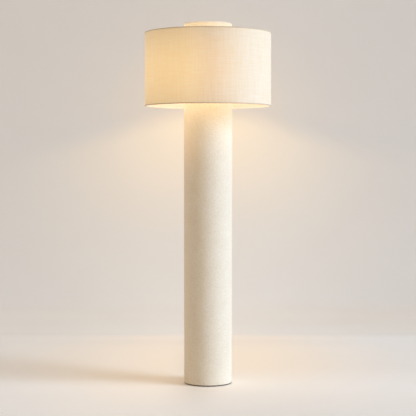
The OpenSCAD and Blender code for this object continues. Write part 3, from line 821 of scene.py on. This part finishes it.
def tape_section():
    """Section of the lower tape, from its outer edge under the rim to its inner edge and back
    on its inner face, and the height of its fold."""
    low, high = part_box("shade_bottom_binding")
    outer_r = high.x
    inner_r = SHADE_R - 0.0075
    floor = low.z
    show = 0.004
    tuck = high.z - low.z
    corner = 0.0016

    def side(grow):
        far, near, under = outer_r - grow, inner_r + grow, floor + grow
        bend = corner - grow
        line = [(far, floor + show), (far, floor + (show + corner) / 2), (far, floor + corner)]
        for a in (30, 60, 90):
            s, c = math.sin(math.radians(a)), math.cos(math.radians(a))
            line.append((far - bend + bend * c, under + bend - bend * s))
        line.append(((far + near) / 2, under))
        for a in (0, 30, 60, 90):
            s, c = math.sin(math.radians(a)), math.cos(math.radians(a))
            line.append((near + bend - bend * s, under + bend - bend * c))
        line += [(near, floor + (tuck + corner) / 2), (near, floor + tuck)]
        return line

    return side(0.0) + list(reversed(side(TAPE_T))), floor


def rim_tape(name, upside_down, node):
    """A binding tape folded over a rim and lapped at the back; the upper one is mirrored."""
    section, floor = tape_section()
    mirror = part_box("shade_top_binding")[1].z + floor
    turns = 240
    lap = 0.010
    wander = 0.00025
    place_in_noise = 0.5 if upside_down else 3.5
    total = ONCE_ROUND + lap / SHADE_R
    climb = 0.003 / SHADE_R
    steps = [total * i / turns for i in range(turns + 1)] + [ONCE_ROUND - climb, ONCE_ROUND]
    loops = []
    for step in sorted(steps):
        angle = BACK + step
        over = min(max((step - ONCE_ROUND + climb) / climb, 0), 1)
        wave = noise.noise(Vector((step * 9, place_in_noise, 0))) * wander
        loop = []
        for r, z in section:
            outside = 1 if r > SHADE_R - 0.003 else -1
            away = r + outside * over * TAPE_T * 0.5
            height = z - over * TAPE_T * 0.6
            if z - floor > 0.003:
                height += wave * outside
            if upside_down:
                height = mirror - height
            loop.append(on_circle(away, angle, height))
        loops.append(loop)
    tape = skin(name, loops, closed=False)
    dress(tape, tape_finish(name + "_weave"), "binding_linen", "shade", node)


def dress_shade():
    lap = 0.012
    under_tape = 0.0003
    linen = lapped_band("shade_cloth", SHADE_R - LINEN_T, SHADE_R, SHADE_LOW + under_tape,
                        SHADE_HIGH - under_tape, lap, rows=44, turns=280, depth=0.0001)
    dress(linen, linen_finish("lit_slub_linen"), "shade_linen", "shade", "shade_linen")
    rim_tape("shade_top_tape", True, "shade_top_binding")
    rim_tape("shade_bottom_tape", False, "shade_bottom_binding")


def weld_beads():
    """Small beads of weld where the spokes meet the hub's edge."""
    hub_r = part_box("shade_hub")[1].x
    spoke_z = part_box("shade_spokes")[0].z + 0.002
    half_height = 0.0024
    radius_along = [(-0.0014, 0.0012), (-0.0008, 0.0026), (0.0002, 0.0031),
                    (0.0012, 0.0028), (0.0022, 0.00205)]
    made = []
    for angle in [BACK + turn for turn in full_turn(3)]:
        outward = Vector((math.cos(angle), math.sin(angle), 0))
        side = Vector((-outward.y, outward.x, 0))
        loops = []
        for along, radius in radius_along:
            centre = outward * (hub_r + along)
            tall = min(radius, half_height)
            loops.append([centre + side * radius * math.cos(a)
                          + Vector((0, 0, spoke_z + tall * math.sin(a))) for a in full_turn(14)])
        made.append(small_solid("bead", loops))
    return join_skins("spoke_weld_beads", made)


# ---- Screw caps of the bulbs, with their rolled thread ----

def threaded_cap(number):
    """A bulb's screw cap: contact and cone at the foot, a groove that climbs round the barrel."""
    node = "bulb_%d_screw_cap" % number
    low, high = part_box(node)
    angle = math.radians(BULB_ANGLES[number - 1])
    centre = Vector((BULB_CIRCLE * math.cos(angle), BULB_CIRCLE * math.sin(angle), low.z))
    barrel = 0.01325
    flare = (high.x - low.x) / 2
    height = high.z - low.z
    pitch = 0.0036
    groove = 0.0009
    start, end = 0.0062, height - 0.0038
    section = [(0.0, 0.0), (0.0035, 0.0), (0.0044, 0.0005), (0.0045, 0.0015), (0.006, 0.0016),
               (0.0095, 0.0036), (barrel - 0.0008, 0.005), (barrel - groove, 0.0058)]
    rows = 60
    section += [(None, start + (end - start) * i / rows) for i in range(rows + 1)]
    section += [(barrel - 0.0003, height - 0.0034), (flare, height - 0.003), (flare, height),
                (0.0, height)]
    run_out = 0.002
    pin_hole = 0.00015
    loops = []
    for turn in full_turn(48):
        loop = []
        for r, z in section:
            if r is None:
                wave = 0.5 + 0.5 * math.cos(ONCE_ROUND * (z / pitch - turn / ONCE_ROUND))
                fade = min(1, (z - start) / run_out, (end - z) / run_out)
                r = barrel - groove * (1 - max(fade, 0) * wave)
            loop.append(centre + Vector(on_circle(max(r, pin_hole), turn, z)))
        loops.append(loop)
    return skin("bulb_%d_thread" % number, loops)


def dress_bulbs():
    metal = screw_cap_finish("nickelled_screw_cap")
    for number in (1, 2, 3):
        cap = threaded_cap(number)
        dress(cap, metal, "lamp_cap_metal", "bulb_%d" % number, "bulb_%d_screw_cap" % number)


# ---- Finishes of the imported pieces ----

def finish_packed_pieces():
    """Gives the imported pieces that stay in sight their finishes, and returns the white paint."""
    rod_thread, bulb_thread = 0.001, 0.0036
    white = powder_coat_finish("white_powder_coat", (0.70, 0.69, 0.66), (0.80, 0.79, 0.76), 0.34)
    black = powder_coat_finish("black_powder_coat", (0.016, 0.016, 0.016), (0.035, 0.034, 0.033), 0.42)
    zinc = plated_finish("bright_zinc", (0.46, 0.47, 0.49), (0.66, 0.67, 0.68), 0.28)
    rod = plated_finish("threaded_zinc", (0.44, 0.45, 0.47), (0.63, 0.64, 0.65), 0.32, rod_thread)
    brass = plated_finish("turned_brass", (0.50, 0.34, 0.13), (0.72, 0.52, 0.24), 0.24)
    insert = plated_finish("rolled_brass", (0.50, 0.34, 0.13), (0.74, 0.54, 0.25), 0.24, bulb_thread)
    board = fibreboard_finish("pressed_fibreboard")
    rubber = rubber_finish("black_rubber")
    iron = cast_iron_finish("raw_cast_iron")
    tube = wound_board_finish("wound_board")
    porcelain = porcelain_finish("glazed_porcelain")
    glass = opal_glass_finish("lit_opal_glass", 5.0)
    liner_light = colour(1.0, 0.67, 0.305)
    liner = lit_sheet_finish("lit_liner_sheet", 2.38, liner_light, SHADE_R, BULBS_Z)
    sheet = lit_sheet_finish("lit_diffuser_sheet", 1.0, colour(1.0, 0.74, 0.40), COLUMN_R)
    nodes_by_finish = (
        (rubber, ("floor_feet", "cord_grommet")),
        (black, ("base_plate",)),
        (zinc, ("base_screws", "rod_washers", "locating_pins", "head_screws")),
        (board, ("base_disc", "middle_disc", "top_disc")),
        (iron, ("ballast_lower", "ballast_upper")),
        (tube, ("column_tube",)),
        (rod, ("lamp_rod",)),
        (brass, ("rod_nuts", "holder_contacts")),
        (insert, ("holder_inserts",)),
        (white, ("head_plate", "cluster_body", "cluster_cover", "cluster_arms",
                 "diffuser_bottom_ring", "diffuser_uprights", "diffuser_top_ring",
                 "shade_hub", "shade_spokes", "shade_top_wire", "shade_bottom_wire", "cap_ring")),
        (porcelain, ("lamp_holders",)),
        (sheet, ("diffuser_sheet", "cap_shell")),
        (liner, ("shade_liner",)),
        (glass, ("bulb_1_globe", "bulb_2_globe", "bulb_3_globe")),
    )
    for finish, nodes in nodes_by_finish:
        for node in nodes:
            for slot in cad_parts[node].material_slots:
                slot.material = finish
    return white


# ---- The room and its light ----

ROOM_HALF = 12.0
WALL_Y = 1.56
WALL_TOP = 5.0
COVE_R = 0.12


def looked_at(finish):
    """1 for the room as it is seen or mirrored, 0 for the light that it sends to the lamp."""
    seen = finish.add("ShaderNodeLightPath", {}, {}, "Is Camera Ray")
    for way in ("Is Glossy Ray", "Is Transmission Ray"):
        seen = finish.math("MAXIMUM", seen, finish.add("ShaderNodeLightPath", {}, {}, way))
    return seen


def room_finish():
    """Pale plaster wall and floor with painted light on them: the lamp's warm pools and paler washes,
    with painted shade at the column's foot; open from behind.
    """
    finish = Finish("pale_room")
    x, y, z = finish.place()
    plaster = finish.grain(x, y, z, 5, 3.0, 0.55)
    wall = finish.step(z, 0.02, 0.20)
    floor_tone = finish.mix(plaster, colour(0.82, 0.80, 0.77), colour(0.84, 0.82, 0.79))
    wall_tone = finish.mix(plaster, colour(0.79, 0.79, 0.805), colour(0.81, 0.81, 0.825))
    base = finish.mix(wall, floor_tone, wall_tone)
    # Painted shade: the base is a little darker where the floor bends into the wall.
    bend = falling_off(finish, z - 0.04, 0.045) * finish.step(y, 1.40, 1.47)
    base = finish.scale(base, 1 - 0.055 * bend)

    # On the wall, painted light: an arch of lamplight with a soft edge, a halo behind the shade, a
    # wide wash, a glow in the cove, paler and bluer towards the right
    arch_top, arch_depth = 1.285, 0.44
    arch_round, arch_spread = 0.0144, 0.109
    edge = finish.math("SQRT", arch_round + arch_spread * x * x)
    under = (arch_top - edge) - z
    scallop = finish.step(under, -0.09, 0.07) * falling_off(finish, under, arch_depth)
    scallop = scallop * falling_off(finish, x, 0.59) * wall
    halo = falling_off(finish, x, 0.475) * falling_off(finish, z - 1.22, 0.36)
    halo = halo * finish.step(z, 1.03, 1.20)
    wide = falling_off(finish, x, 0.75) * (0.022 + 0.055 * finish.step(z, 1.15, 0.25)) * wall
    cove = falling_off(finish, x, 0.6) * falling_off(finish, z - 0.03, 0.13)
    cove = cove * finish.step(y, 1.20, 1.45)
    painted_light_wall_right = finish.step(x, -0.3, 0.5) * wall

    # On the floor, painted light: a pool of lamplight behind the column, paler in front and on the
    # right, warmer at front left, and painted shade just in front of its foot
    dull = falling_off(finish, x + 0.052, 0.085) * finish.step(y, -0.8, -0.12)
    floor = (1 - wall) * finish.step(y, 1.50, 1.30) * (1 - 0.52 * dull)
    floor_pool = falling_off(finish, x, 0.70) * finish.step(y, -0.9, 0.55)
    floor_pool = floor_pool * finish.step(y, 0.9, 1.2, 1.0, 0.75) * floor
    painted_light_floor_front = finish.step(y, 0.45, -0.2) * floor
    painted_light_floor_left = falling_off(finish, x + 0.3, 0.32) * painted_light_floor_front
    painted_light_floor_right = finish.step(x, 0.2, 0.9) * (0.4 + 0.6 * finish.step(y, -0.4, 0.3)) * floor

    # Painted light low on the wall, where the floor bends up into it, paler and bluer towards the
    # right
    foot = falling_off(finish, z, 0.055) * finish.step(y, 1.36, 1.46)
    painted_light_foot_of_wall = falling_off(finish, x, 0.65) * foot
    painted_light_foot_right = finish.step(x, 0.1, 0.6) * foot

    pools = finish.sum(finish.scale((0.34, 0.21, 0.058), scallop),
                       finish.scale((0.235, 0.135, 0.035), floor_pool))
    pools = finish.sum(pools, finish.scale((0.15, 0.075, 0.0), halo))
    paler = finish.scale((1.0, 0.97, 0.85), wide)
    for tint, share in (((0.0, 0.01, 0.02), painted_light_wall_right), ((0.07, 0.085, 0.105), painted_light_floor_front),
                        ((0.02, 0.045, 0.075), painted_light_floor_right), ((0.01, 0.02, 0.035), floor),
                        ((0.06, 0.035, 0.01), painted_light_floor_left), ((0.075, 0.06, 0.055), cove),
                        ((0.035, 0.035, 0.03), painted_light_foot_of_wall), ((0.0, 0.012, 0.03), painted_light_foot_right)):
        paler = finish.sum(paler, finish.scale(tint, share))
    glow = finish.sum(pools, finish.scale(paler, looked_at(finish)))
    seen = finish.surface(Base_Color=base, Roughness=0.9, Specular_IOR_Level=0.1,
                          Emission_Color=glow, Emission_Strength=1.0)
    behind = finish.add("ShaderNodeNewGeometry", {}, {}, "Backfacing")
    clear = finish.add("ShaderNodeBsdfTransparent", {}, {})
    return finish.done(finish.add("ShaderNodeMixShader", {}, {0: behind, 1: seen, 2: clear}))


def build_room():
    """One sheet: floor, a rounded cove and the wall behind the lamp."""
    line = [(-ROOM_HALF, 0.0), (-2.0, 0.0), (WALL_Y - COVE_R, 0.0)]
    for i in range(1, 13):
        a = math.radians(90 * i / 12)
        line.append((WALL_Y - COVE_R + COVE_R * math.sin(a), COVE_R - COVE_R * math.cos(a)))
    line.append((WALL_Y, WALL_TOP))
    points, faces = [], []
    for x in (-ROOM_HALF, ROOM_HALF):
        points += [(x, y, z) for y, z in line]
    for i in range(len(line) - 1):
        faces.append((i, len(line) + i, len(line) + i + 1, i + 1))
    mesh = bpy.data.meshes.new("room")
    mesh.from_pydata(points, [], faces)
    mesh.shade_smooth()
    mesh.materials.append(room_finish())
    room = put_in_scene("room", mesh)


def far_light(name, power, tint, spread, azimuth, elevation):
    """Soft light from far off; azimuth runs from the front round to the right, in degrees."""
    light = bpy.data.lights.new(name, "SUN")
    light.energy = power
    light.color = tint
    light.angle = math.radians(spread)
    turn, rise = math.radians(azimuth), math.radians(elevation)
    towards = Vector((math.sin(turn), -math.cos(turn), math.tan(rise)))
    put_in_scene(name, light).rotation_euler = towards.to_track_quat("Z", "Y").to_euler()


def light_room():
    far_light("window_light", 2.74, (0.695, 0.845, 1.0), 36, 70, 22)
    far_light("wall_bounce", 0.42, (1.0, 0.88, 0.76), 40, -112, 0)
    world = bpy.data.worlds.new("room_air")
    world.use_nodes = True
    bpy.context.scene.world = world
    air = Finish("room_air", world.node_tree)
    seen = air.add("ShaderNodeLightPath", {}, {}, "Is Camera Ray")
    tone = air.mix(seen, colour(0.51, 0.375, 0.235), colour(0.66, 0.62, 0.58))
    light = air.add("ShaderNodeBackground", {}, {"Color": tone, "Strength": 1.0})
    air.add("ShaderNodeOutputWorld", {}, {"Surface": light})


white_paint = finish_packed_pieces()
dress_column()
dress_diffuser()
dress_cap()
dress_shade()
dress(weld_beads(), white_paint, "white_metal", "shade")
dress_bulbs()
build_room()
light_room()
bpy.context.scene.view_settings.view_transform = "Standard"
